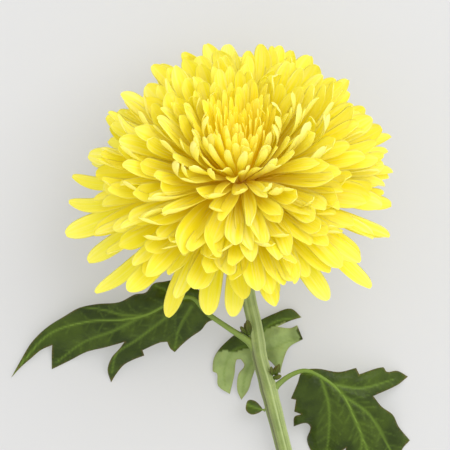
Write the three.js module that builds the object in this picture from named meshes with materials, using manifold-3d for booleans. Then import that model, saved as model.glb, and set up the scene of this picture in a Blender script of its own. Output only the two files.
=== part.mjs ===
// A cut chrysanthemum bloom lying on a table: a ball of strap-shaped ray florets on a domed
// receptacle, backed by green bracts, with its bent neck, ribbed stem, three leaves and side buds.
// Millimetres, +Z up, the table at z = 0. The bloom's axis leans toward +Y and the stem runs to -Y.
import * as THREE from 'three';
import Module from 'manifold-3d';
import { mergeVertices } from 'three/addons/utils/BufferGeometryUtils.js';

const wasm = await Module();
wasm.setup();

// ---- driving dimensions ----
const headHeight = 48; // from the table to the middle of the receptacle
const headTilt = 40; // degrees between the bloom's axis and straight up
const headLean = -2; // degrees that the axis leans to the side
const goldenAngle = 137.508; // degrees between one floret and the next
const collarSpacing = 1.0; // between the foot of one whorl and the next
const firstFoot = { radius: 1.8, height: 6.5 }; // the innermost whorl's foot on the dome
const petalThickness = 0.5;
const whorlCounts = [13, 21, 34, 34, 34, 34, 34, 34, 34, 34, 34, 34, 34, 34];
const outerRowCount = 17;
const outerRows = 2;
const bractCount = 13;
const pressStart = 30; // florets below this height are flattened against the table
const pressDepth = 46.5; // how softly they flatten
const neckHeight = -13; // where the receptacle meets the stem, along the axis
const neckRadius = 2.8;
const stemRadius = 3.4; // at the cut end
const clearGap = 0.35; // between neighbours that touch
const leafThickness = 0.7;

// how the florets change from the innermost row, 0, to the outermost, 1
const startAngle = [[0, 5], [0.13, 14], [0.27, 27], [0.4, 40], [0.53, 54], [0.67, 67], [0.8, 79], [1, 96]];
const midAngle = [[0, 4], [0.13, 12], [0.27, 23], [0.4, 39], [0.53, 57], [0.67, 74], [0.8, 92], [1, 119]];
const endAngle = [[0, 0], [0.13, 2], [0.27, 8], [0.4, 24], [0.53, 44], [0.67, 66], [0.8, 90], [1, 126]];
const floretLength = [[0, 30], [0.13, 32], [0.27, 36], [0.4, 41], [0.53, 45], [0.67, 48], [0.87, 51],
  [0.93, 63], [1, 67]];
const floretWidth = [[0, 2], [0.13, 3.4], [0.27, 5], [0.4, 6.4], [0.53, 7], [1, 7.4]];
// the middle rows flop forward on the side that the bloom leans away from: degrees, by row and by turn
const flopByRow = [[0, 0], [0.13, 0], [0.27, 7], [0.4, 20], [0.53, 24], [0.67, 12], [0.8, 0], [1, 0]];
const flopByTurn = [[0, 0], [198, 0], [238, 0.8], [270, 1], [310, 0.7], [349, 0], [360, 0]];
const flopShares = [0.1, 0.8, 1.5]; // of the flop, in a floret's three directions
const legShares = [0.4, 0.35, 0.25]; // of a floret's length, in its three directions
// how the outer florets' length varies round the bloom: right 0, back 90, left 180, front 270
const outerReach = [[0, 0.79], [60, 0.84], [120, 0.86], [180, 0.92], [205, 0.94], [225, 0.95], [243, 0.84],
  [270, 0.74], [300, 0.76], [317, 0.82], [335, 0.88], [360, 0.79]];

const floretRows = whorlCounts.length + outerRows;
const radians = THREE.MathUtils.degToRad;

const material = (color, roughness) => new THREE.MeshStandardMaterial({ color, roughness, metalness: 0 });
const petalYellow = material('#f7dc24', 0.55);
const heartYellow = material('#f0c515', 0.55);
const stemGreen = material('#8a9c5c', 0.6);
const leafGreen = material('#3f5a2b', 0.5);
const bractGreen = material('#7d9150', 0.65);

// ---- the bloom's own frame: radius from its axis, height along it, turn round it ----
const axis = new THREE.Vector3(0, 0, 1)
  .applyAxisAngle(new THREE.Vector3(1, 0, 0), -radians(headTilt))
  .applyAxisAngle(new THREE.Vector3(0, 1, 0), radians(headLean));
const sideways = new THREE.Vector3(1, 0, 0).addScaledVector(axis, -axis.x).normalize();
const backwards = new THREE.Vector3().crossVectors(axis, sideways);
const headCentre = new THREE.Vector3(0, 0, headHeight);

// What hangs low is flattened toward the table, the lowest most of all.
function press(point) {
  if (point.z < pressStart) {
    point.z = pressStart - pressDepth * (1 - Math.exp((point.z - pressStart) / pressDepth));
  }
  return point;
}

function place(radius, height, turn) {
  return press(headCentre.clone()
    .addScaledVector(sideways, radius * Math.cos(turn))
    .addScaledVector(backwards, radius * Math.sin(turn))
    .addScaledVector(axis, height));
}

// straight lines between the [position, value] pairs of a table
function along(table, position) {
  const next = Math.max(1, table.findIndex(([at]) => at >= position));
  const [[fromAt, from], [toAt, to]] = [table[next - 1], table[next]];
  return from + (to - from) * (position - fromAt) / (toAt - fromAt);
}

// ---- rows: florets from the heart outward, then two rows of bracts ----
const rows = Array.from({ length: floretRows }, (_, row) => {
  const position = row / (floretRows - 1);
  return {
    angles: [startAngle, midAngle, endAngle].map((table) => radians(along(table, position))),
    length: along(floretLength, position),
    width: along(floretWidth, position),
    flop: radians(along(flopByRow, position)),
  };
});
rows.push({ angles: [106, 118, 112].map(radians), length: 15, width: 3.6, flop: 0 });
rows.push({ angles: [120, 124, 118].map(radians), length: 11, width: 3.2, flop: 0 });

// Each row's foot steps outward over the dome, square to the way its florets leave it.
rows.forEach((row, index) => {
  if (index === 0) {
    row.foot = firstFoot;
    return;
  }
  const before = rows[index - 1];
  const leave = (before.angles[0] + row.angles[0]) / 2;
  row.foot = {
    radius: before.foot.radius + collarSpacing * Math.cos(leave),
    height: before.foot.height - collarSpacing * Math.sin(leave),
  };
});

// The middle line of a row's strap at a share of its length, and the way the upper face looks.
function strapLine(row, turn, share, longer = 1) {
  const flop = row.flop * along(flopByTurn, THREE.MathUtils.radToDeg(turn));
  const reach = [1 - (1 - share) ** 3, share ** 2 * (3 - 2 * share), share ** 3];
  const speed = [(1 - share) ** 2, 2 * share * (1 - share), share ** 2];
  let { radius, height } = row.foot;
  let outward = 0;
  let upward = 0;
  row.angles.forEach((rowAngle, leg) => {
    const angle = rowAngle + flop * flopShares[leg];
    const size = row.length * longer * legShares[leg];
    radius += size * reach[leg] * Math.sin(angle);
    height += size * reach[leg] * Math.cos(angle);
    outward += size * speed[leg] * Math.sin(angle);
    upward += size * speed[leg] * Math.cos(angle);
  });
  const pace = Math.hypot(outward, upward);
  return { radius, height, faceRadius: -upward / pace, faceHeight: outward / pace };
}

// Half a strap's width at a share of its length: a narrow claw that widens to a round end.
function halfWidth(row, share) {
  const widening = 0.3 + 0.7 * Math.min(share / 0.7, 1);
  return row.width / 2 * widening * (share > 0.95 ? 0.6 : 1);
}

function lift(line, amount, turn) {
  return place(line.radius + amount * line.faceRadius, line.height + amount * line.faceHeight, turn);
}

const quad = (a, b, c, d) => [[a, b, c], [a, c, d]];

function shellOf(points, triangles) {
  const geometry = new THREE.BufferGeometry();
  const numbers = points.flatMap((point) => point.toArray());
  geometry.setAttribute('position', new THREE.Float32BufferAttribute(numbers, 3));
  geometry.setIndex(triangles.flat());
  return geometry;
}

// The walls between rings of corners, and none on the ends.
function wallsBetween(rings) {
  const walls = [];
  for (let step = 1; step < rings.length; step += 1) {
    const [before, after] = [rings[step - 1], rings[step]];
    before.forEach((corner, side) => {
      const other = (side + 1) % before.length;
      walls.push(...quad(corner, before[other], after[other], after[side]));
    });
  }
  return walls;
}

// A whorl is one closed shell: a low collar round the dome that rises into a strap for each floret.
function whorlGeometry(row, turns, shares) {
  turns.sort((a, b) => a - b);
  const count = turns.length;
  const fullTurn = 2 * Math.PI;
  const spaces = turns.map((turn, k) => (turns[(k + 1) % count] - turn + fullTurn) % fullTurn);
  const widest = Math.min(...spaces) * 0.42;
  const half = petalThickness / 2;
  const points = [];
  const triangles = [];
  const corner = (line, turn, side) => points.push(lift(line, side * half, turn)) - 1;

  const straps = turns.map((turn) => {
    const foot = strapLine(row, turn, 0);
    const rings = shares.map((share) => {
      const line = strapLine(row, turn, share);
      const spread = Math.min(halfWidth(row, share) / line.radius, widest);
      return [
        corner(line, turn - spread, -1), corner(line, turn + spread, -1),
        corner(line, turn + spread, 1), corner(line, turn - spread, 1),
      ];
    });
    return { foot: [corner(foot, turn, -1), corner(foot, turn, 1)], rings };
  });

  straps.forEach(({ foot, rings }, k) => {
    const next = straps[(k + 1) % count];
    const [outerLeft, outerRight, innerRight, innerLeft] = rings[0];
    const [nextOuter, , , nextInner] = next.rings[0];
    triangles.push([foot[0], outerRight, outerLeft], [foot[1], innerLeft, innerRight]);
    triangles.push(...quad(foot[0], next.foot[0], nextOuter, outerRight));
    triangles.push(...quad(foot[1], innerRight, nextInner, next.foot[1]));
    triangles.push(...quad(foot[0], foot[1], next.foot[1], next.foot[0]));
    triangles.push(...quad(outerRight, nextOuter, nextInner, innerRight));
    triangles.push(...wallsBetween(rings), ...quad(...rings.at(-1)));
  });
  return shellOf(points, triangles);
}

// An outer floret stands alone: a cupped strap with three corners across each face.
function outerFloretGeometry(row, turn, longer) {
  const points = [];
  const rings = [0, 0.25, 0.5, 0.72, 0.9, 1].map((share) => {
    const line = strapLine(row, turn, share, longer);
    const half = Math.min(halfWidth(row, share), 0.1 * line.radius);
    const cup = half * 0.35;
    return [[-1, -1], [0, -1], [1, -1], [1, 1], [0, 1], [-1, 1]].map(([across, side]) => {
      const amount = side * petalThickness / 2 + cup * across * across;
      return points.push(lift(line, amount, turn + across * half / line.radius)) - 1;
    });
  });
  const [first, last] = [rings[0], rings.at(-1)];
  return shellOf(points, [
    ...wallsBetween(rings),
    ...quad(first[0], first[5], first[4], first[1]), ...quad(first[1], first[4], first[3], first[2]),
    ...quad(last[0], last[1], last[4], last[5]), ...quad(last[1], last[2], last[3], last[4]),
  ]);
}

// A solid rod along a curve, with a radius for each share of the way and ribs down its length.
function rodGeometry(curve, radiusAt, sides, steps, ribDepth = 0) {
  const frames = curve.computeFrenetFrames(steps);
  const points = [];
  const rings = [];
  for (let step = 0; step <= steps; step += 1) {
    const centre = curve.getPointAt(step / steps);
    const radius = radiusAt(step / steps);
    rings.push(Array.from({ length: sides }, (_, side) => {
      const turn = side / sides * 2 * Math.PI;
      const reach = radius * (side % 2 ? 1 - ribDepth : 1);
      return points.push(centre.clone()
        .addScaledVector(frames.normals[step], reach * Math.cos(turn))
        .addScaledVector(frames.binormals[step], reach * Math.sin(turn))) - 1;
    }));
  }
  const start = points.push(curve.getPointAt(0)) - 1;
  const end = points.push(curve.getPointAt(1)) - 1;
  const ends = rings[0].flatMap((corner, side) => {
    const other = (side + 1) % sides;
    return [[start, rings[0][other], corner], [end, rings.at(-1)[side], rings.at(-1)[other]]];
  });
  return shellOf(points, [...wallsBetween(rings), ...ends]);
}

// ---- joins ----
function solidOf(geometry) {
  const plain = geometry.clone();
  ['normal', 'uv'].forEach((extra) => plain.deleteAttribute(extra));
  const merged = mergeVertices(plain, 1e-4);
  return new wasm.Manifold(new wasm.Mesh({
    numProp: 3,
    vertProperties: new Float32Array(merged.attributes.position.array),
    triVerts: new Uint32Array(merged.index.array),
  }));
}

function joined(...geometries) {
  const whole = geometries.map(solidOf).reduce((all, next) => all.add(next)).getMesh();
  const geometry = new THREE.BufferGeometry();
  geometry.setAttribute('position', new THREE.BufferAttribute(new Float32Array(whole.vertProperties), 3));
  geometry.setIndex(new THREE.BufferAttribute(new Uint32Array(whole.triVerts), 1));
  return geometry;
}

const curveThrough = (spots) => new THREE.CatmullRomCurve3(spots.map((spot) => new THREE.Vector3(...spot)));

// A blade is two half blades that meet on the midrib and droop away from it.
function bladeGeometry({ midrib, left, right, droop, lowest }) {
  const rib = midrib.map((spot) => new THREE.Vector3(...spot));
  const heightAt = ([x, y]) => {
    let best = { distance: Infinity, height: 0 };
    for (let index = 1; index < rib.length; index += 1) {
      const [from, to] = [rib[index - 1], rib[index]];
      const run = new THREE.Vector2(to.x - from.x, to.y - from.y);
      const offset = new THREE.Vector2(x - from.x, y - from.y);
      const share = THREE.MathUtils.clamp(offset.dot(run) / run.lengthSq(), 0, 1);
      const distance = offset.sub(run.multiplyScalar(share)).length();
      if (distance < best.distance) best = { distance, height: from.z + (to.z - from.z) * share };
    }
    return Math.max(lowest, best.height - droop * best.distance ** 1.5);
  };
  const edge = (side) => side.map(([x, y]) => new THREE.Vector3(x, y, heightAt([x, y])));
  const [leftEdge, rightEdge] = [edge(left), edge(right)];
  const tops = [...rib, ...leftEdge, ...rightEdge];
  const leftLoop = [...rib.keys(), ...[...leftEdge.keys()].reverse().map((index) => index + rib.length)];
  const rightStart = rib.length + leftEdge.length;
  const rightLoop = [...rib.keys(), ...[...rightEdge.keys()].reverse().map((index) => index + rightStart)];
  const border = [0, ...[...leftEdge.keys()].map((index) => index + rib.length), rib.length - 1,
    ...[...rightEdge.keys()].reverse().map((index) => index + rightStart)];
  const count = tops.length;
  const triangles = [];
  [leftLoop, rightLoop].forEach((loop) => {
    const flat = loop.map((index) => new THREE.Vector2(tops[index].x, tops[index].y));
    THREE.ShapeUtils.triangulateShape(flat, []).forEach((face) => {
      let [a, b, c] = face.map((spot) => loop[spot]);
      const area = (tops[b].x - tops[a].x) * (tops[c].y - tops[a].y)
        - (tops[c].x - tops[a].x) * (tops[b].y - tops[a].y);
      if (area < 0) [b, c] = [c, b];
      triangles.push([a, b, c], [a + count, c + count, b + count]);
    });
  });
  const flatBorder = border.map((index) => new THREE.Vector2(tops[index].x, tops[index].y));
  const ordered = THREE.ShapeUtils.isClockWise(flatBorder) ? border.slice().reverse() : border;
  ordered.forEach((corner, index) => {
    const other = ordered[(index + 1) % ordered.length];
    triangles.push(...quad(corner, corner + count, other + count, other));
  });
  const bottoms = tops.map((top) => new THREE.Vector3(top.x, top.y, top.z - leafThickness));
  return shellOf([...tops, ...bottoms], triangles);
}

function leafGeometry(leaf) {
  const stalk = rodGeometry(curveThrough(leaf.stalk), (share) => leaf.stalkRadius * (1 - 0.35 * share), 7, 8);
  return joined(bladeGeometry(leaf), stalk);
}

const flower = new THREE.Group();

function addPiece(name, geometry, finish) {
  const mesh = new THREE.Mesh(geometry, finish);
  mesh.name = name;
  flower.add(mesh);
}

const numbered = (name, number) => `${name}_${String(number).padStart(2, '0')}`;
const turnOf = (number) => radians((number * goldenAngle) % 360);

// ---- ray florets ----
let floretNumber = 0;
whorlCounts.forEach((count, index) => {
  const turns = Array.from({ length: count }, (_, k) => turnOf(floretNumber + k));
  const geometry = whorlGeometry(rows[index], turns, [0.07, 0.55, 1]);
  addPiece(numbered('ray_whorl', index + 1), geometry, index < 4 ? heartYellow : petalYellow);
  floretNumber += count;
});
for (let outer = 0; outer < outerRows * outerRowCount; outer += 1) {
  const row = rows[whorlCounts.length + Math.floor(outer / outerRowCount)];
  const turn = turnOf(floretNumber);
  const longer = along(outerReach, THREE.MathUtils.radToDeg(turn));
  addPiece(numbered('ray_floret', outer + 1), outerFloretGeometry(row, turn, longer), petalYellow);
  floretNumber += 1;
}

// ---- bracts under the florets ----
rows.slice(floretRows).forEach((row, index) => {
  const turns = Array.from({ length: bractCount }, (_, k) => (k + index / 2) / bractCount * 2 * Math.PI);
  addPiece(numbered('bract_row', index + 1), whorlGeometry(row, turns, [0.12, 0.6, 1]), bractGreen);
});

// ---- receptacle: the dome under the rows' feet, narrowing to the neck ----
function receptacleGeometry() {
  const inset = petalThickness / 2 + clearGap + 0.2;
  const dome = rows.filter((_, index) => index % 2 === 1).map((row) => new THREE.Vector2(
    row.foot.radius - inset * Math.sin(row.angles[0]) - 0.25,
    row.foot.height - inset * Math.cos(row.angles[0]),
  ));
  const profile = [new THREE.Vector2(0, dome[0].y + 0.4), ...dome,
    new THREE.Vector2(neckRadius + 2.4, neckHeight + 2.6), new THREE.Vector2(neckRadius, neckHeight),
    new THREE.Vector2(0, neckHeight)];
  const lathe = new THREE.LatheGeometry(profile.reverse(), 16);
  ['normal', 'uv'].forEach((extra) => lathe.deleteAttribute(extra));
  const merged = mergeVertices(lathe, 1e-4);
  const spots = merged.attributes.position;
  for (let index = 0; index < spots.count; index += 1) {
    const radius = Math.hypot(spots.getX(index), spots.getZ(index));
    const turn = Math.atan2(spots.getZ(index), spots.getX(index));
    spots.setXYZ(index, ...place(radius, spots.getY(index), -turn).toArray());
  }
  return merged;
}
addPiece('receptacle', receptacleGeometry(), bractGreen);

// ---- stem: down from the receptacle, bending at the neck, then straight to its cut end ----
const stemStart = headCentre.clone().addScaledVector(axis, neckHeight - clearGap);
const stemCurve = curveThrough([
  stemStart.toArray(),
  [1, -19, 26.6], [2, -34, 19.4], [3.8, -49, 15.8], [6.2, -60, 14.2], [8.2, -73, 12.6],
  [11.6, -85, 11.2], [15.4, -100, 9.4], [20, -118, 7.4], [25.5, -138, 5.4], [31, -157, 3.5],
]);
addPiece('stem', rodGeometry(
  stemCurve,
  (share) => neckRadius + (stemRadius - neckRadius) * Math.min(1, share * 1.6),
  14,
  22,
  0.08,
), stemGreen);

// ---- leaves: outlines in plan, midribs and stalks with their heights ----
addPiece('leaf_left', leafGeometry({
  stalkRadius: 1.5,
  stalk: [[3.4, -66.4, 14.6], [-5, -61, 17.5], [-14, -54.6, 20.3], [-20, -48.6, 21.5], [-28, -50.6, 21.2],
    [-38, -55.6, 19]],
  midrib: [[-10.4, -57.6, 19.2], [-15.5, -52.8, 20.8], [-20.5, -48.6, 21.5], [-29, -51.2, 21],
    [-38, -55.8, 19], [-48, -57.8, 16], [-62, -58.6, 11], [-78, -63.6, 5.6], [-89, -75, 2.2],
    [-93, -80, 1.2]],
  right: [[-12, -54.8], [-15.4, -47.5], [-19, -43.6], [-25, -41.4], [-31.5, -42.2], [-35.4, -43],
    [-38.6, -46.6], [-43, -47.4], [-49.5, -50.6], [-58.5, -51.4], [-66, -53], [-72, -56.4], [-79.5, -61.2],
    [-85.6, -67.2], [-89.8, -74]],
  left: [[-13.4, -59], [-15.8, -62], [-19.8, -64.8], [-23.6, -68], [-26.7, -71.2], [-28.6, -69.6],
    [-29.8, -66.9], [-33, -67.3], [-39.9, -70.4], [-39.2, -72.6], [-43.7, -74.3], [-47.6, -76.5],
    [-50.7, -79.7], [-52.5, -82.4], [-54, -78.2], [-52.7, -73.5], [-49.4, -69.7], [-47.4, -67],
    [-55.4, -69.3], [-63, -71.2], [-70, -74.6], [-76.3, -77.2], [-77.4, -72], [-77.2, -68.4],
    [-81.7, -70.4], [-85.6, -73.6], [-90.2, -77.6]],
  droop: 0.11,
  lowest: 0.9,
}), leafGreen);

addPiece('leaf_right', leafGeometry({
  stalkRadius: 1.4,
  stalk: [[15.2, -84.4, 12.4], [21, -80.4, 15.2], [27, -78.6, 17], [33, -81, 17.2], [40, -86.4, 15.6]],
  midrib: [[25.6, -79, 16.6], [31.4, -80.2, 17.2], [40.4, -86.6, 15.6], [45.4, -94.4, 13.2],
    [51.8, -109.8, 7.6], [57, -122, 3], [60.5, -132, 1.2]],
  left: [[31.6, -77.8], [40.3, -79.2], [47.7, -77.6], [49, -80.2], [58.7, -77.4], [60.5, -79.3],
    [64.8, -79], [69.2, -81.4], [64.8, -84.8], [54.8, -89.2], [58.3, -93.6], [62.9, -97], [65.4, -102],
    [70, -107.6], [66.6, -112], [67.4, -118.4], [63.6, -123.6]],
  right: [[23.6, -83.8], [20.9, -90.2], [23, -90.7], [22.3, -95.6], [25.1, -96.7], [22.4, -97.8],
    [22.1, -101.8], [27, -100.4], [29, -102.2], [27.6, -107.2], [29.8, -113], [34.4, -120.6],
    [39.4, -114], [43.6, -110.6], [43, -117], [48.6, -121.6], [54.8, -126.6]],
  droop: 0.1,
  lowest: 0.9,
}), leafGreen);

addPiece('leaf_back', leafGeometry({
  stalkRadius: 1.2,
  stalk: [[9.2, -76.5, 7.4], [8.4, -73, 6.6], [6.8, -68.6, 6]],
  midrib: [[8.4, -74.4, 5.8], [7, -69, 5.8], [9.6, -62.6, 5.4], [15.6, -58.4, 4.6], [25.4, -57, 2.4]],
  left: [[5.2, -81.4], [3.6, -86.7], [0.6, -91], [-1.1, -86.7], [-0.6, -80.4], [1.8, -76.8],
    [0.4, -74.2], [-1.4, -74.6], [-2.2, -80.4], [-4.1, -88.6], [-8.9, -85.2], [-9.4, -80.2], [-11.2, -79],
    [-10, -72.2], [-3.6, -65.2], [0.6, -62.6], [7, -58.8], [14.6, -55.2], [21, -53.4]],
  right: [[12, -74.6], [16.6, -80.2], [17.8, -75], [20.3, -69.4], [26, -66], [23.6, -60.2], [20.6, -61.4],
    [15.4, -60.8], [20.8, -58.4]],
  droop: 0.05,
  lowest: 0.9,
}), bractGreen);

// ---- the small leaf low on the stem, and a bud in each leaf's axil ----
addPiece('leaflet', leafGeometry({
  stalkRadius: 0.7,
  stalk: [[10.4, -95, 9.6], [9.2, -94.8, 9.6], [7.4, -94.3, 9.4]],
  midrib: [[9.6, -94.9, 9.6], [6.4, -94, 9.3], [2.6, -92.6, 8.4]],
  left: [[7, -95.9], [4.2, -95.6], [2.5, -94.2]],
  right: [[8.6, -93], [6.4, -91.7], [4, -91.3]],
  droop: 0.04,
  lowest: 0.9,
}), leafGreen);

function budGeometry(base, tip, radius) {
  const bulge = (share) => radius * (0.35 + 0.65 * Math.sin(Math.PI * (0.15 + 0.8 * share)));
  const between = [0.33, 0.66].map((share) => base.map((value, axisIndex) => (
    value + (tip[axisIndex] - value) * share)));
  return rodGeometry(curveThrough([base, ...between, tip]), bulge, 7, 5);
}
addPiece('axil_bud_left', budGeometry([3.1, -62.6, 15.9], [2, -59.2, 17.2], 1), bractGreen);
addPiece('axil_bud_right', budGeometry([14, -80.2, 13.2], [15.2, -76.6, 15.6], 1.1), bractGreen);

// The origin is on the table, under the middle of the whole flower's box.
const box = new THREE.Box3().setFromObject(flower);
flower.position.set(-(box.min.x + box.max.x) / 2, -(box.min.y + box.max.y) / 2, -box.min.z);

export default flower;
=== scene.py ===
import math

import bmesh
import bpy
from mathutils import Matrix, Vector, geometry, noise
from mathutils.kdtree import KDTree


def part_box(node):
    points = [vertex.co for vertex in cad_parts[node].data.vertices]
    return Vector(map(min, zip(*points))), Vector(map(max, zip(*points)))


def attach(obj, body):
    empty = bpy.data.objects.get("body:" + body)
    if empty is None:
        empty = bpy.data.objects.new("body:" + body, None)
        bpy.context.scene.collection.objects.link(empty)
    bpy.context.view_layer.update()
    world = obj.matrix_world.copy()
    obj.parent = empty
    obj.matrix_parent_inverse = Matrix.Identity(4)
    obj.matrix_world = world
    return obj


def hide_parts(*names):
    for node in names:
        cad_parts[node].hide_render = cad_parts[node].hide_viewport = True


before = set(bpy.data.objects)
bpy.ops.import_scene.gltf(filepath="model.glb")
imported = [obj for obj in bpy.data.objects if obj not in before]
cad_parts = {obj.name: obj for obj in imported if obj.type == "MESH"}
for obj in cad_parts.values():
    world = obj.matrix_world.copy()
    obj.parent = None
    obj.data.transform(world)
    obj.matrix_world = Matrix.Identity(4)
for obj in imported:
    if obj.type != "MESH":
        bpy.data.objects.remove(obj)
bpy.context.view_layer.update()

scene = bpy.context.scene

# sizes here are in millimetres and degrees until mm turns them into metres
mm = 0.001

# the bloom's own frame: its centre is found from the stem, its axis leans back from straight up
head = {
    "offset": (-15.79, 82.241, 28.032),  # from the middle of the stem's box to the bloom's centre
    "height": 48,
    "tilt": -40,
    "lean": -2,
    "pressStart": 30,  # what hangs lower than this is flattened toward the table
    "pressDepth": 46.5,
}
low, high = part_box("stem")
headCentre = Vector([(a + b) / 2 / mm + c for a, b, c in zip(low, high, head["offset"])])
fromPlan = headCentre - Vector((0, 0, head["height"]))  # other pieces are drawn with the bloom over 0, 0
headPose = (Matrix.Rotation(math.radians(head["lean"]), 3, "Y")
            @ Matrix.Rotation(math.radians(head["tilt"]), 3, "X"))


def linear(hexColour):
    parts = [int(hexColour[i:i + 2], 16) / 255 for i in (1, 3, 5)]
    return [c / 12.92 if c <= 0.04045 else ((c + 0.055) / 1.055) ** 2.4 for c in parts] + [1.0]


def add(tree, kind, inputs=(), **settings):
    # one node: settings are its properties, inputs are numbers, colours or the sockets that feed it
    node = tree.nodes.new(kind)
    for name, value in settings.items():
        setattr(node, name, value)
    live = [s for s in node.inputs if s.enabled]
    named = inputs.items() if isinstance(inputs, dict) else enumerate(inputs)
    for where, value in named:
        socket = live[where] if isinstance(where, int) else next(s for s in live if s.name == where)
        if isinstance(value, bpy.types.NodeSocket):
            tree.links.new(value, socket)
        elif value is not None:
            socket.default_value = value
    outputs = [s for s in node.outputs if s.enabled]
    return outputs[0] if outputs else node


def readTable(tree, table, position):
    # a curve through [position, value] pairs, read at a position from 0 to 1
    values = [value for _, value in table]
    lowest, highest = min(values), max(values) + 1e-6
    factor = add(tree, "ShaderNodeFloatCurve", {"Value": position})
    mapping = factor.node.mapping
    points = mapping.curves[0].points
    while len(points) < len(table):
        points.new(0.5, 0.5)
    for point, (at, value) in zip(points, table):
        point.location = (at, (value - lowest) / (highest - lowest))
        point.handle_type = "AUTO_CLAMPED"
    mapping.update()
    return add(tree, "ShaderNodeMapRange", {"Value": factor, "To Min": lowest, "To Max": highest})


# ---- florets ----
floret = {
    "turnStep": 137.508,
    "rows": 16,
    "whorls": [13, 21, 34, 34, 34, 34, 34, 34, 34, 34, 34, 34, 34, 34],
    "outer": 34,
    "perOuterRow": 17,
    "firstFoot": (1.8, 6.5),
    "footStep": 1.0,
    "legs": (0.4, 0.35, 0.25),
    "legSwings": (2.0, 9.0, 20.0),
    "flopShares": (0.1, 0.8, 1.5),
    "tangle": [[0, 0.5], [0.3, 0.8], [0.5, 1.35], [0.75, 1.0], [1, 0.9]],
    "cup": [[0, 1.15], [0.3, 0.8], [0.6, 0.5], [0.82, 0.55], [0.94, 0.85], [1, 1.1]],
    "hookFrom": 0.72,
    "start": [[0, 5], [0.13, 14], [0.27, 27], [0.4, 40], [0.53, 54], [0.67, 67], [0.8, 79], [1, 96]],
    "middle": [[0, 4], [0.13, 12], [0.27, 23], [0.4, 39], [0.53, 57], [0.67, 74], [0.8, 92], [1, 119]],
    "end": [[0, 0], [0.13, 2], [0.27, 8], [0.4, 24], [0.53, 44], [0.67, 66], [0.8, 90], [1, 126]],
    "length": [[0, 30], [0.13, 32], [0.27, 36], [0.4, 41], [0.53, 45], [0.67, 48], [0.87, 51],
               [0.93, 63], [1, 67]],
    "width": [[0, 1.9], [0.13, 2.9], [0.27, 5.4], [0.4, 8.6], [0.53, 10.4], [0.67, 11.2], [1, 11.6]],
    "flopRows": [[0, 0], [0.13, 0], [0.27, 7], [0.4, 20], [0.53, 24], [0.67, 12], [0.8, 0], [1, 0]],
    "flopTurns": [[0, 0], [0.55, 0], [0.66, 0.8], [0.75, 1], [0.86, 0.7], [0.97, 0], [1, 0]],
    "reach": [[0, 0.79], [0.167, 0.84], [0.333, 0.86], [0.5, 0.92], [0.57, 0.94], [0.625, 0.95],
              [0.675, 0.84], [0.75, 0.74], [0.833, 0.76], [0.88, 0.82], [0.93, 0.88], [1, 0.79]],
    "outline": [[0, 0.32], [0.25, 0.58], [0.5, 0.86], [0.7, 1.0], [0.85, 0.97], [0.93, 0.8], [0.975, 0.52],
                [1, 0.2]],
    "thickness": 0.26,
    "seed": 7,
    "heartWhorls": 4,
    "heartShape": {"Cup": 0.62, "Hook": 0.25},
}


def strapMesh():
    # one strap, closed all round: five corners across its face and three across its back
    stations = [0, 0.14, 0.3, 0.45, 0.6, 0.73, 0.84, 0.92, 0.975, 1.0]
    ring = [(-1, 0), (-0.5, 0), (0, 0), (0.5, 0), (1, 0), (0.5, 1), (0, 1), (-0.5, 1)]
    corners = [(across, along, back) for along in stations for across, back in ring]
    size = len(ring)
    faces = []
    for step in range(len(stations) - 1):
        for side in range(size):
            other = (side + 1) % size
            faces.append([step * size + side, step * size + other,
                          (step + 1) * size + other, (step + 1) * size + side])
    for start, turn in ((0, -1), ((len(stations) - 1) * size, 1)):
        for cap in ((0, 1, 7), (1, 2, 6, 7), (2, 3, 5, 6), (3, 4, 5)):
            faces.append([start + corner for corner in cap][::turn])
    mesh = bpy.data.meshes.new("strap")
    mesh.from_pydata([(across * 0.1, along, -back * 0.02) for across, along, back in corners], [], faces)
    for name, index in (("across", 0), ("along", 1), ("back", 2)):
        layer = mesh.attributes.new(name, "FLOAT", "POINT")
        layer.data.foreach_set("value", [corner[index] for corner in corners])
    return mesh


def footTables(shape):
    # each row's foot steps outward over the dome, square to the way its straps leave it
    table = shape["start"]

    def startAt(position):
        for (a, x), (b, y) in zip(table, table[1:]):
            if position <= b:
                return x + (y - x) * (position - a) / (b - a)
        return table[-1][1]

    radius, height = shape["firstFoot"]
    last = shape["rows"] - 1
    radii, heights = [[0, radius]], [[0, height]]
    for row in range(1, shape["rows"]):
        leave = math.radians(startAt((row - 0.5) / last))
        radius += shape["footStep"] * math.cos(leave)
        height -= shape["footStep"] * math.sin(leave)
        radii.append([row / last, radius])
        heights.append([row / last, height])
    return radii, heights


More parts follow.
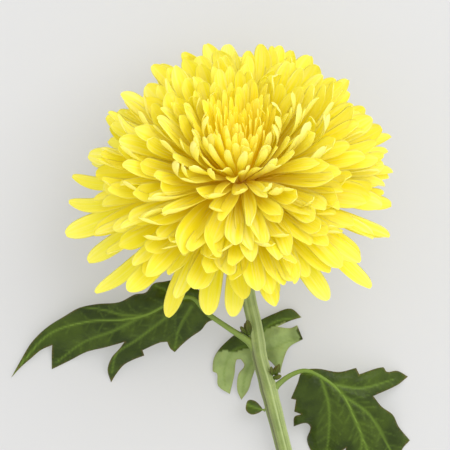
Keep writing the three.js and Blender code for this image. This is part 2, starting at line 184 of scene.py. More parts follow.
def strapTree(name, shape):
    # places a row of straps round the dome by a fixed turn and bends each along three legs
    tree = bpy.data.node_groups.new(name, "GeometryNodeTree")
    face = tree.interface
    face.new_socket("Geometry", in_out="OUTPUT", socket_type="NodeSocketGeometry")
    face.new_socket("Strap", in_out="INPUT", socket_type="NodeSocketGeometry")
    for label, kind, value in (
            ("Florets", "Int", 1), ("Row", "Float", 0.0), ("Row spread", "Float", 1.0),
            ("First turn", "Float", 0.0), ("Turn step", "Float", shape["turnStep"]),
            ("Length scale", "Float", 1.0), ("Width scale", "Float", 1.0), ("Outer reach", "Float", 0.0),
            ("Cup", "Float", 1.0), ("Looseness", "Float", 1.0), ("Hook", "Float", 1.0),
            ("Thickness", "Float", shape["thickness"]), ("Seed", "Int", shape["seed"]),
            ("Material", "Material", None)):
        socket = face.new_socket(label, in_out="INPUT", socket_type="NodeSocket" + kind)
        if value is not None:
            socket.default_value = value
    tree.is_modifier = True
    group = add(tree, "NodeGroupInput").node.outputs
    calc, vector = "ShaderNodeMath", "ShaderNodeVectorMath"

    # points, each with its number, and a strap on each
    points = add(tree, "GeometryNodePoints", {"Count": group["Florets"]})
    numbered = add(tree, "GeometryNodeStoreNamedAttribute",
                   {"Geometry": points, "Name": "floret", "Value": add(tree, "GeometryNodeInputIndex")},
                   data_type="FLOAT", domain="POINT")
    copies = add(tree, "GeometryNodeInstanceOnPoints", {"Points": numbered, "Instance": group["Strap"]})
    straps = add(tree, "GeometryNodeRealizeInstances", [copies])
    number, across, along, back = [
        add(tree, "GeometryNodeInputNamedAttribute", {"Name": name}, data_type="FLOAT")
        for name in ("floret", "across", "along", "back")]

    # where the floret is: its share of the way from the heart, and its turn round the axis
    centred = add(tree, calc, [add(tree, calc, [number, 0.5], operation="ADD"), group["Florets"]],
                  operation="DIVIDE")
    spread = add(tree, calc, [add(tree, calc, [centred, 0.5], operation="SUBTRACT"), group["Row spread"],
                              group["Row"]], operation="MULTIPLY_ADD")
    place = add(tree, calc, [spread, shape["rows"] - 1], operation="DIVIDE", use_clamp=True)
    turnDegrees = add(tree, calc, [number, group["Turn step"], group["First turn"]],
                      operation="MULTIPLY_ADD")
    identity = add(tree, calc, [turnDegrees, 10.0], operation="MULTIPLY")
    loose = group["Looseness"]

    def chance(seed, lowest, highest):
        return add(tree, "FunctionNodeRandomValue",
                   [lowest, highest, identity,
                    add(tree, calc, [group["Seed"], float(seed)], operation="ADD")],
                   data_type="FLOAT")

    # the middle of the bloom is the most tangled
    tangle = add(tree, calc, [readTable(tree, shape["tangle"], place), loose], operation="MULTIPLY")
    turnJitter = add(tree, calc, [chance(1, -4.5, 4.5), loose], operation="MULTIPLY")
    turn = add(tree, calc, [add(tree, calc, [turnDegrees, turnJitter], operation="ADD")],
               operation="RADIANS")
    turnShare = add(tree, calc, [add(tree, calc, [turnDegrees, 360.0], operation="DIVIDE")],
                    operation="FRACT")

    # length and width
    reach = add(tree, calc, [add(tree, calc, [readTable(tree, shape["reach"], turnShare), 1.0],
                                 operation="SUBTRACT"), group["Outer reach"], 1.0],
                operation="MULTIPLY_ADD")
    length = readTable(tree, shape["length"], place)
    for factor in (reach, group["Length scale"], chance(2, 0.93, 1.07)):
        length = add(tree, calc, [length, factor], operation="MULTIPLY")
    width = readTable(tree, shape["width"], place)
    outline = readTable(tree, shape["outline"], along)
    for factor in (group["Width scale"], chance(3, 0.84, 1.14), outline, 0.5):
        width = add(tree, calc, [width, factor], operation="MULTIPLY")

    # the middle line: three legs, each leaving at its own angle from the axis
    rest = add(tree, calc, [1.0, along], operation="SUBTRACT")
    square = add(tree, calc, [along, 2.0], operation="POWER")
    cube = add(tree, calc, [along, 3.0], operation="POWER")
    reaches = [
        add(tree, calc, [1.0, add(tree, calc, [rest, 3.0], operation="POWER")], operation="SUBTRACT"),
        add(tree, calc, [square, add(tree, calc, [along, -2.0, 3.0], operation="MULTIPLY_ADD")],
            operation="MULTIPLY"),
        cube,
    ]
    paces = [
        add(tree, calc, [rest, 2.0], operation="POWER"),
        add(tree, calc, [add(tree, calc, [rest, along], operation="MULTIPLY"), 2.0], operation="MULTIPLY"),
        square,
    ]
    radii, heights = footTables(shape)
    line = add(tree, "ShaderNodeCombineXYZ", [0.0, readTable(tree, radii, place),
                                              readTable(tree, heights, place)])
    heading = add(tree, "ShaderNodeCombineXYZ", [0.0, 0.0, 0.0])
    lean = add(tree, calc, [chance(4, -5.0, 5.0), loose], operation="MULTIPLY")
    # the middle rows flop forward on the side that the bloom leans away from
    flop = add(tree, calc, [readTable(tree, shape["flopRows"], place),
                            readTable(tree, shape["flopTurns"], turnShare)], operation="MULTIPLY")
    for leg, name in enumerate(("start", "middle", "end")):
        swing, share = shape["legSwings"][leg], shape["flopShares"][leg]
        bend = add(tree, calc, [chance(5 + leg, -swing, swing), tangle, lean], operation="MULTIPLY_ADD")
        bend = add(tree, calc, [flop, share, bend], operation="MULTIPLY_ADD")
        degrees = add(tree, calc, [readTable(tree, shape[name], place), bend], operation="ADD")
        angle = add(tree, calc, [degrees], operation="RADIANS")
        direction = add(tree, "ShaderNodeCombineXYZ", [
            0.0, add(tree, calc, [angle], operation="SINE"), add(tree, calc, [angle], operation="COSINE")])
        size = add(tree, calc, [length, shape["legs"][leg]], operation="MULTIPLY")
        line = add(tree, vector, [direction, add(tree, calc, [size, reaches[leg]], operation="MULTIPLY"),
                                  line], operation="MULTIPLY_ADD")
        heading = add(tree, vector, [direction, add(tree, calc, [size, paces[leg]], operation="MULTIPLY"),
                                     heading], operation="MULTIPLY_ADD")
    heading = add(tree, vector, [heading], operation="NORMALIZE")
    upward = add(tree, "ShaderNodeVectorRotate", {"Vector": heading, "Angle": math.pi / 2},
                 rotation_type="X_AXIS")

    # the cross-section: an arc whose edges rise toward the face, tighter at the base and at the hooded tip
    cupAlong = readTable(tree, shape["cup"], along)
    cup = add(tree, calc, [cupAlong, group["Cup"]], operation="MULTIPLY")
    cup = add(tree, calc, [cup, chance(9, 0.55, 1.7)], operation="MULTIPLY")
    bowed = add(tree, calc, [across, cup], operation="MULTIPLY")
    perCup = add(tree, calc, [width, cup], operation="DIVIDE")
    aside = add(tree, calc, [add(tree, calc, [bowed], operation="SINE"), perCup], operation="MULTIPLY")
    rise = add(tree, calc, [add(tree, calc, [1.0, add(tree, calc, [bowed], operation="COSINE")],
                                operation="SUBTRACT"), perCup], operation="MULTIPLY")
    # two shallow channels run down the face
    channel = add(tree, calc, [add(tree, calc, [across, 2 * math.pi], operation="MULTIPLY")],
                  operation="COSINE")
    rise = add(tree, calc, [channel, add(tree, calc, [width, 0.035], operation="MULTIPLY"), rise],
               operation="MULTIPLY_ADD")
    rise = add(tree, calc, [add(tree, calc, [back, -1.0], operation="MULTIPLY"), group["Thickness"], rise],
               operation="MULTIPLY_ADD")
    # the last quarter or so hooks over toward the face
    hookFrom = shape["hookFrom"]
    hookShare = add(tree, calc, [add(tree, calc, [along, hookFrom], operation="SUBTRACT"), 1 - hookFrom],
                    operation="DIVIDE", use_clamp=True)
    hook = add(tree, calc, [add(tree, calc, [hookShare, 2.0], operation="POWER"),
                            add(tree, calc, [chance(10, -0.03, 0.11), length], operation="MULTIPLY")],
               operation="MULTIPLY")
    rise = add(tree, calc, [hook, group["Hook"], rise], operation="MULTIPLY_ADD")
    section = add(tree, vector, [upward, rise, add(tree, "ShaderNodeCombineXYZ", [aside, 0.0, 0.0])],
                  operation="MULTIPLY_ADD")
    twist = add(tree, calc, [add(tree, calc, [chance(11, -0.75, 0.75), tangle], operation="MULTIPLY"),
                             add(tree, calc, [along, 1.3], operation="POWER")], operation="MULTIPLY")
    section = add(tree, "ShaderNodeVectorRotate", {"Vector": section, "Axis": heading, "Angle": twist},
                  rotation_type="AXIS_ANGLE")
    sway = add(tree, calc, [add(tree, calc, [chance(12, -0.09, 0.09), tangle], operation="MULTIPLY"),
                            add(tree, calc, [square, length], operation="MULTIPLY")], operation="MULTIPLY")
    section = add(tree, vector, [section, add(tree, "ShaderNodeCombineXYZ", [sway, 0.0, 0.0])],
                  operation="ADD")
    spot = add(tree, vector, [line, section], operation="ADD")
    quarter = add(tree, calc, [turn, math.pi / 2], operation="SUBTRACT")
    spot = add(tree, "ShaderNodeVectorRotate", {"Vector": spot, "Angle": quarter}, rotation_type="Z_AXIS")

    # into the bloom's pose, then flattened where it meets the table, then into metres
    shaped = add(tree, "GeometryNodeSetPosition", {"Geometry": straps, "Position": spot})
    toned = add(tree, "GeometryNodeStoreNamedAttribute",
                {"Geometry": shaped, "Name": "tone", "Value": chance(13, 0.0, 1.0)},
                data_type="FLOAT", domain="POINT")
    toned = add(tree, "GeometryNodeStoreNamedAttribute", {"Geometry": toned, "Name": "place", "Value": place},
                data_type="FLOAT", domain="POINT")
    posed = add(tree, "GeometryNodeTransform", {
        "Geometry": toned, "Translation": headCentre,
        "Rotation": (math.radians(head["tilt"]), math.radians(head["lean"]), 0)})
    position = add(tree, "GeometryNodeInputPosition")
    height = add(tree, "ShaderNodeSeparateXYZ", [position]).node.outputs["Z"]
    below = add(tree, calc, [height, head["pressStart"]], operation="MINIMUM")
    depth = add(tree, calc, [add(tree, calc, [below, head["pressStart"]], operation="SUBTRACT"),
                             head["pressDepth"]], operation="DIVIDE")
    eased = add(tree, calc, [add(tree, calc, [depth], operation="EXPONENT"), head["pressDepth"],
                             head["pressStart"] - head["pressDepth"]], operation="MULTIPLY_ADD")
    raised = add(tree, "ShaderNodeCombineXYZ", [0.0, 0.0, add(tree, calc, [eased, below],
                                                              operation="SUBTRACT")])
    pressed = add(tree, "GeometryNodeSetPosition", {"Geometry": posed, "Offset": raised})
    scaled = add(tree, "GeometryNodeTransform", {"Geometry": pressed, "Scale": (mm, mm, mm)})
    real = add(tree, "GeometryNodeRealizeInstances", [scaled])
    painted = add(tree, "GeometryNodeSetMaterial", {"Geometry": real, "Material": group["Material"]})
    smooth = add(tree, "GeometryNodeSetShadeSmooth", [painted])
    add(tree, "NodeGroupOutput", [smooth])
    return tree


def strapPiece(name, tree, values, material, smoothing=1):
    holder = bpy.data.objects.new(name + "Source", strap)
    scene.collection.objects.link(holder)
    nodes = holder.modifiers.new("florets", "NODES")
    nodes.node_group = tree
    for item in tree.interface.items_tree:
        if item.in_out == "INPUT" and item.name in values:
            nodes[item.identifier] = values[item.name]
        if item.name == "Material":
            nodes[item.identifier] = material
    subdivide = holder.modifiers.new("subdivide", "SUBSURF")
    subdivide.levels = subdivide.render_levels = smoothing
    return bake(holder, name, material)


def bake(holder, name, material):
    # the modifiers' result as a plain mesh
    shape = holder.evaluated_get(bpy.context.evaluated_depsgraph_get())
    mesh = bpy.data.meshes.new_from_object(shape, preserve_all_data_layers=True,
                                           depsgraph=bpy.context.evaluated_depsgraph_get())
    mesh.name = name
    mesh.materials.clear()
    mesh.materials.append(material)
    bpy.data.objects.remove(holder)
    return finishPiece(name, mesh)


def finishPiece(name, mesh):
    for polygon in mesh.polygons:
        polygon.use_smooth = True
    piece = bpy.data.objects.new(name, mesh)
    scene.collection.objects.link(piece)
    return piece


def stand(piece, slot, *nodes):
    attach(piece, "root")
    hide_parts(*nodes)


# ---- materials ----
def petalMaterial(name, look):
    # living petal skin: waxy cells over pale veins, so it is soft-lit, glows when lit from behind, and
    # shows fine lines from claw to tip; its edges, its back and its tip are paler than its face, partly its
    # own colour and partly a painted highlight; a faint emission is a painted glow standing in for light
    # scattered inside the bloom
    material = bpy.data.materials.new(name)
    material.use_nodes = True
    tree = material.node_tree
    tree.nodes.clear()
    calc = "ShaderNodeMath"
    along, across, back, tone, number = [
        add(tree, "ShaderNodeAttribute", attribute_name=attribute).node.outputs["Fac"]
        for attribute in ("along", "across", "back", "tone", "floret")]
    # colours from foot to tip; the pale tip is partly the petal's own colour and partly a painted highlight
    ramp = add(tree, "ShaderNodeValToRGB", [along])
    stops = ramp.node.color_ramp.elements
    for position, shade in ((0.0, "foot"), (0.4, "claw"), (0.7, "middle"), (1.0, "tip")):
        stop = stops[0] if position == 0 else stops[-1] if position == 1 else stops.new(position)
        stop.position = position
        stop.color = linear(look[shade])
    # edges and back turn toward the pale colour: partly the petal's own paler colour, partly a painted
    # highlight
    rim = add(tree, calc, [add(tree, calc, [across], operation="ABSOLUTE"), 6.0], operation="POWER")
    paleAndHighlight = add(tree, calc, [back, look["paleBackAndHighlight"]], operation="MULTIPLY")
    paleAndHighlight = add(tree, calc, [rim, look["paleRimAndHighlight"], paleAndHighlight], operation="MULTIPLY_ADD", use_clamp=True)
    tipward = add(tree, "ShaderNodeMapRange", {"Value": along, "From Min": 0.25, "From Max": 0.85})
    paleAndHighlight = add(tree, calc, [paleAndHighlight, tipward], operation="MULTIPLY")
    body = add(tree, "ShaderNodeMix", {"Factor": paleAndHighlight, "A": ramp, "B": linear(look["pale"])},
               data_type="RGBA")

    # veins: stretched noise, many across and few along, different on each floret, in the pale colour that is
    # partly a painted highlight
    grain = add(tree, "ShaderNodeCombineXYZ", [
        add(tree, calc, [across, look["streaksAcross"]], operation="MULTIPLY"),
        add(tree, calc, [along, 1.4], operation="MULTIPLY"),
        add(tree, calc, [number, 3.7], operation="MULTIPLY")])
    lines = add(tree, "ShaderNodeTexNoise", {"Vector": grain, "Scale": 1.0, "Detail": 2.0})
    veins = add(tree, "ShaderNodeMapRange", {"Value": lines, "From Min": 0.45, "From Max": 0.75,
                                             "To Max": look["streaks"]})
    body = add(tree, "ShaderNodeMix", {"Factor": veins, "A": body, "B": linear(look["pale"])},
               data_type="RGBA")
    golden = add(tree, "ShaderNodeMapRange", {"Value": tone, "To Max": look["varies"]})
    body = add(tree, "ShaderNodeMix", {"Factor": golden, "A": body, "B": linear(look["claw"])},
               data_type="RGBA")
    bump = add(tree, "ShaderNodeBump", {"Strength": 0.5, "Distance": 0.0003, "Height": lines})
    # the emission is a painted glow, in the colour under inside, standing in for light scattered inside the
    # bloom
    skin = add(tree, "ShaderNodeBsdfPrincipled", {
        "Base Color": body, "Roughness": look["roughness"], "IOR": 1.4, "Sheen Weight": 0.15,
        "Normal": bump, "Emission Color": linear(look["inside"]), "Emission Strength": look["paintedGlow"]})
    glow = add(tree, "ShaderNodeBsdfTranslucent", {"Color": linear(look["glow"]), "Normal": bump})
    mixed = add(tree, "ShaderNodeMixShader", [look["through"], skin, glow])
    add(tree, "ShaderNodeOutputMaterial", {"Surface": mixed})
    return material


def greenMaterial(name, look):
    # living green skin: two greens in soft patches, pale where a vein or rib crest runs, darker in the
    # furrows between and in random patches, with a painted shade down the stem's left side and a painted
    # highlight down its right side, matt and pale on the underside, with a reddish blush on young scales
    material = bpy.data.materials.new(name)
    material.use_nodes = True
    tree = material.node_tree
    tree.nodes.clear()
    position = add(tree, "ShaderNodeTexCoord").node.outputs["Object"]
    patches = add(tree, "ShaderNodeTexNoise", {"Vector": position, "Scale": look["patches"], "Detail": 5.0})
    mixing = add(tree, "ShaderNodeMapRange", {"Value": patches, "From Min": 0.35, "From Max": 0.65})
    body = add(tree, "ShaderNodeMix", {"Factor": mixing, "A": linear(look["deep"]),
                                       "B": linear(look["light"])}, data_type="RGBA")
    for layer in ("under", "shade", "vein", "blush"):
        amount = add(tree, "ShaderNodeAttribute", attribute_name=layer).node.outputs["Fac"]
        body = add(tree, "ShaderNodeMix", {"Factor": amount, "A": body, "B": linear(look[layer])},
                   data_type="RGBA")
    cells = add(tree, "ShaderNodeTexVoronoi", {"Vector": position, "Scale": look["cells"]})
    bump = add(tree, "ShaderNodeBump", {"Strength": 0.4, "Distance": 0.0004, "Height": cells})
    skin = add(tree, "ShaderNodeBsdfPrincipled", {
        "Base Color": body, "Roughness": look["roughness"], "Specular IOR Level": look["shine"],
        "Sheen Weight": look["bloomOn"], "Sheen Roughness": 0.5, "Normal": bump})
    add(tree, "ShaderNodeOutputMaterial", {"Surface": skin})
    return material


# the inside colour and its glow strength give the petals a painted glow, stronger in the heart petals
petalLook = {
    "foot": "#f8c80a", "claw": "#f8e61c", "middle": "#f8f132", "tip": "#f9f886",
    "pale": "#fdfcca", "paleRimAndHighlight": 0.95, "paleBackAndHighlight": 0.7, "streaks": 0.9, "streaksAcross": 5.0, "varies": 0.35,
    "glow": "#fbf84a", "through": 0.55, "inside": "#ffd808", "paintedGlow": 0.08, "roughness": 0.5,
}
petal = petalMaterial("waxy petal skin", petalLook)
heartPetal = petalMaterial("golden heart petal skin", dict(petalLook, middle="#f9ef2c", tip="#f9f672",
                                                           paleBackAndHighlight=0.5, paintedGlow=0.17))
leafLook = {
    "deep": "#273506", "light": "#3d4e10", "under": "#84964f", "shade": "#1a2406", "vein": "#5f7826",
    "blush": "#8a6a3c", "patches": 90, "cells": 700, "roughness": 0.4, "shine": 0.16, "bloomOn": 0.02,
}
stemLook = {
    "deep": "#6b7c3c", "light": "#84944e", "under": "#b9c48c", "shade": "#4a4a26", "vein": "#a3b078",
    "blush": "#8a5a34", "patches": 120, "cells": 1500, "roughness": 0.5, "shine": 0.4, "bloomOn": 0.05,
}
leafCuticle = greenMaterial("leaf cuticle", leafLook)
leafUnderside = greenMaterial("downy leaf underside", dict(leafLook, under="#8a9c5e", bloomOn=0.15,
                                                           roughness=0.6))
stemSkin = greenMaterial("ribbed stem skin", stemLook)
receptacleSkin = greenMaterial("golden receptacle skin", dict(stemLook, under="#dcae14"))
bractSkin = greenMaterial("papery bract skin", dict(stemLook, deep="#5d7030", light="#7f9148",
                                                    vein="#a5a86a", cells=900, roughness=0.6))
print("materials")

# ---- the bloom ----
strap = strapMesh()
floretRow = strapTree("floretRow", floret)
number = 0
for index, count in enumerate(floret["whorls"]):
    node = f"ray_whorl_{index + 1:02d}"
    heart = index < floret["heartWhorls"]
    values = {"Florets": count, "Row": float(index), "First turn": number * floret["turnStep"] % 360}
    if heart:
        values.update(floret["heartShape"])
    whorl = strapPiece(node + "_florets", floretRow, values, heartPetal if heart else petal)
    stand(whorl, "heart_petal" if heart else "petal", node)
    number += count
for k in range(floret["outer"]):
    node = f"ray_floret_{k + 1:02d}"
    row = len(floret["whorls"]) + (k + 0.5) / floret["perOuterRow"] - 0.5
    single = strapPiece(node + "_petal", floretRow, {
        "Florets": 1, "Row": row, "Row spread": 0.0, "First turn": number * floret["turnStep"] % 360,
        "Outer reach": 1.0,
    }, petal)
    stand(single, "petal", node)
    number += 1
print("florets")

# ---- shapes for the green pieces, drawn in plan millimetres ----
def press(spot):
    # what hangs low is flattened toward the table
    below = min(0, spot.z - head["pressStart"])
    eased = head["pressDepth"] * (1 - math.exp(below / head["pressDepth"]))
    return Vector((spot.x, spot.y, spot.z - below - eased))


def smoothPath(spots, steps, closed=False, corner=-2.0):
    # a curve through the spots; where they turn more sharply than the corner value, it does too
    spots = [Vector(spot) for spot in spots]
    count = len(spots)
    headings = []
    for k, spot in enumerate(spots):
        before = spots[k - 1] if closed or k else spot
        after = spots[(k + 1) % count] if closed or k < count - 1 else spot
        bend = (spot - before).normalized().dot((after - spot).normalized())
        sharp = before != spot != after and bend < corner
        headings.append(None if sharp else (after - before).normalized())
    path = []
    for k in range(count if closed else count - 1):
        start, end = spots[k], spots[(k + 1) % count]
        run = end - start
        leave = (headings[k] or run.normalized()) * run.length
        arrive = (headings[(k + 1) % count] or run.normalized()) * run.length
        for step in range(steps):
            t = step / steps
            path.append(start * (2 * t ** 3 - 3 * t ** 2 + 1) + leave * (t ** 3 - 2 * t ** 2 + t)
                        + end * (3 * t ** 2 - 2 * t ** 3) + arrive * (t ** 3 - t ** 2))
    return path if closed else path + [spots[-1]]


class Shell:
    # corners, faces and one number a corner for each layer of paint
    layers = ("vein", "shade", "under", "blush")

    def __init__(self):
        self.corners, self.faces, self.paint = [], [], []

    def corner(self, spot, **paint):
        self.corners.append(spot)
        self.paint.append([paint.get(layer, 0.0) for layer in self.layers])
        return len(self.corners) - 1

    def tube(self, path, sides, reach, paint=lambda turn, share: {}, capPaint=None):
        # a closed rod: turn 0 is its right as it leads away, a quarter turn on is its top
        rings = []
        last = len(path) - 1
        for k, spot in enumerate(path):
            ahead = (path[min(k + 1, last)] - path[max(k - 1, 0)]).normalized()
            aside = ahead.cross(Vector((0, 0, 1))).normalized()
            upward = aside.cross(ahead)
            ring = []
            for side in range(sides):
                turn = side / sides * 2 * math.pi
                out = reach(turn, k / last)
                ring.append(self.corner(spot + aside * math.cos(turn) * out + upward * math.sin(turn) * out,
                                        **paint(turn, k / last)))
            rings.append(ring)
        for before, after in zip(rings, rings[1:]):
            for side in range(sides):
                other = (side + 1) % sides
                self.faces.append([before[side], before[other], after[other], after[side]])
        for ring, spot, turn in ((rings[0], path[0], 1), (rings[-1], path[-1], -1)):
            middle = self.corner(spot, **(capPaint or {}))
            for side in range(sides):
                self.faces.append([middle, ring[(side + 1) % sides], ring[side]][::turn])

    def piece(self, name, material, slot, node, sharpTurn=60):
        mesh = bpy.data.meshes.new(name)
        mesh.from_pydata([(spot + fromPlan) * mm for spot in self.corners], [], self.faces)
        for index, layer in enumerate(self.layers):
            values = [paint[index] for paint in self.paint]
            mesh.attributes.new(layer, "FLOAT", "POINT").data.foreach_set("value", values)
        whole = bmesh.new()
        whole.from_mesh(mesh)
        bmesh.ops.delete(whole, geom=[vert for vert in whole.verts if not vert.link_faces], context="VERTS")
        bmesh.ops.recalc_face_normals(whole, faces=whole.faces[:])
        whole.to_mesh(mesh)
        whole.free()
        mesh.materials.append(material)
        made = finishPiece(name, mesh)
        mesh.set_sharp_from_angle(angle=math.radians(sharpTurn))
        stand(made, slot, node)
        return made


# ---- receptacle and bracts ----
bract = {
    "turnStep": 360 / 13, "rows": 2, "count": 13, "footStep": 1.0, "inset": (0.19, 0.98),
    "legs": (0.4, 0.35, 0.25), "legSwings": floret["legSwings"], "flopShares": floret["flopShares"],
    "tangle": floret["tangle"], "cup": floret["cup"], "hookFrom": floret["hookFrom"],
    "start": [[0, 106], [1, 120]], "middle": [[0, 118], [1, 124]], "end": [[0, 112], [1, 118]],
    "length": [[0, 15], [1, 11]], "width": [[0, 6.2], [1, 5.8]],
    "outline": [[0, 0.7], [0.3, 1], [0.6, 0.85], [0.85, 0.5], [1, 0.12]],
    "reach": [[0, 1], [1, 1]], "flopRows": [[0, 0], [1, 0]], "flopTurns": [[0, 0], [1, 0]],
    "thickness": 0.4, "seed": 3,
}
feet = [[pair[1] for pair in table] for table in footTables(floret)]
bract["firstFoot"] = (feet[0][-1] - bract["inset"][0], feet[1][-1] - bract["inset"][1])
bractRow = strapTree("bractRow", bract)
for row in range(bract["rows"]):
    node = f"bract_row_{row + 1:02d}"
    made = strapPiece(node + "_scales", bractRow, {
        "Florets": bract["count"], "Row": float(row), "Row spread": 0.0, "Hook": 0.0, "Looseness": 0.4,
        "First turn": row / 2 * bract["turnStep"]}, bractSkin)
    stand(made, "bract", node)

receptacle = {"insetOut": 0.64, "insetDown": 0.48, "neckRadius": 2.8, "neckHeight": -13, "sides": 48,
              "greenRows": 5}


def makeReceptacle():
    # a domed disc under the rows' feet, narrowing to the neck and green behind the outer rows
    dome = [(radius - receptacle["insetOut"], height - receptacle["insetDown"])
            for radius, height in zip(*feet)]
    neck = receptacle["neckRadius"], receptacle["neckHeight"]
    profile = smoothPath([(0.3, dome[0][1] + 0.4), *dome[1::2], (neck[0] + 2.4, neck[1] + 2.6), neck], 3)
    greenTo = feet[1][-receptacle["greenRows"]]
    shell = Shell()
    rings = []
    for radius, height in profile:
        ring = []
        for side in range(receptacle["sides"]):
            turn = side / receptacle["sides"] * 2 * math.pi
            spot = headPose @ Vector((radius * math.cos(turn), radius * math.sin(turn), height))
            spot = press(spot + Vector((0, 0, head["height"])))
            ring.append(shell.corner(spot, vein=0.3 * (height < greenTo), under=float(height >= greenTo)))
        rings.append(ring)
    for before, after in zip(rings, rings[1:]):
        for side in range(len(before)):
            other = (side + 1) % len(before)
            shell.faces.append([before[side], before[other], after[other], after[side]])
    shell.faces += [rings[0], rings[-1][::-1]]
    shell.piece("receptacle_disc", receptacleSkin, "bract", "receptacle")


makeReceptacle()
print("receptacle and bracts")

# ---- stem ----
stem = {
    "path": [(1, -19, 26.6), (2, -34, 19.4), (3.8, -49, 15.8), (6.2, -60, 14.2), (8.2, -73, 12.6),
             (11.6, -85, 11.2), (15.4, -100, 9.4), (20, -118, 7.4), (25.5, -138, 5.4), (31, -157, 3.5)],
    "radius": (2.55, 3.2), "sides": 70, "ribs": 7, "ribDepth": 0.045, "fineRibDepth": 0.012,
    "joints": [(-67, 0.08), (-86, 0.12), (-95, 0.06)],  # where each leaf joins, and how far it swells
    "swellLength": 3.6,
    # from here down the stem, its left side takes a painted shade
    "shadeFrom": -62,
}


def makeStem():
    axis = headPose @ Vector((0, 0, 1))
    start = Vector((0, 0, head["height"])) + axis * (receptacle["neckHeight"] - 0.35)
    path = smoothPath([start, *stem["path"]], 16)
    places = [spot.y for spot in path]
    last = len(path) - 1

    def reach(turn, share):
        y = places[round(share * last)]
        radius = stem["radius"][0] + (stem["radius"][1] - stem["radius"][0]) * min(1, share * 1.6)
        swell = sum(amount * math.exp(-((y - joint) / stem["swellLength"]) ** 2)
                    for joint, amount in stem["joints"])
        rib = (stem["ribDepth"] * math.cos(stem["ribs"] * turn)
               + stem["fineRibDepth"] * math.cos(3 * stem["ribs"] * turn))
        return radius * (1 + swell + rib)

    def paint(turn, share):
        y = places[round(share * last)]
        lines = noise.noise((math.cos(turn) * 5, math.sin(turn) * 5, y / 60))
        crest = max(0, math.cos(stem["ribs"] * turn)) ** 3
        bare = min(1, max(0, (stem["shadeFrom"] - y) / 10))
        # a painted shade darkens the stem's left side, turned away from the lamp, from below the left leaf on
        paintedShade = math.exp(-((turn - 0.72) / 0.4) ** 2) * bare * (0.85 + 0.4 * lines)
        # a broad pale band down the stem's right side, toward the lamp, is a painted highlight
        pale = 0.35 * math.exp(-((turn - 2.6) / 0.5) ** 2)
        return {"vein": min(1, max(0, crest * 0.5 + pale + lines * 0.5) * (1 - 0.6 * paintedShade)),
                "shade": min(1, max(0, paintedShade, -lines * 0.7))}

    shell = Shell()
    shell.tube(path, stem["sides"], reach, paint, {"under": 1.0})
    shell.piece("ribbed_stem", stemSkin, "stem", "stem")


makeStem()
print("stem")

# ---- leaves: midribs with heights, outlines and veins in plan ----
leafShape = {
    "spacing": 0.8, "thickness": 0.34, "edgeThickness": 0.16, "veinWidth": 0.62, "bulge": 1.5,
    "groove": 0.45, "wave": 1.6, "sideVein": 0.28, "sideVeinStep": 5, "sideVeinReach": 11,
}


def nearest(spot, line):
    # the distance to a line of spots in plan, and how far along it in spots
    best = (1e9, 0.0)
    for k in range(len(line) - 1):
        run = line[k + 1] - line[k]
        share = min(1, max(0, (spot - line[k]).dot(run) / run.length_squared))
        distance = (line[k] + run * share - spot).length
        if distance < best[0]:
            best = (distance, k + share)
    return best


def inside(spot, outline):
    odd = False
    for (ax, ay), (bx, by) in zip(outline, outline[1:] + outline[:1]):
        if (ay > spot.y) != (by > spot.y) and spot.x < ax + (spot.y - ay) / (by - ay) * (bx - ax):
            odd = not odd
    return odd


def sideVeins(vein, edge):
    # short veins that leave a long one at half a right angle, alternately left and right
    made = []
    length = sum((b - a).length for a, b in zip(vein, vein[1:]))
    count = int(length / leafShape["sideVeinStep"])
    for k in range(count):
        place = (k + 0.6) / count * (len(vein) - 1)
        at = int(place)
        run = vein[at + 1] - vein[at]
        start = vein[at] + run * (place - at)
        for side in (-1, 1):
            heading = run.normalized()
            heading.rotate(Matrix.Rotation(side * (0.8 + 0.15 * math.sin(k * 5.3)), 2))
            room = edge.find((*start, 0))[2]
            reach = min(leafShape["sideVeinReach"], room * 0.85)
            made.append([start, start + heading * reach * 0.5, start + heading * reach])
    return made


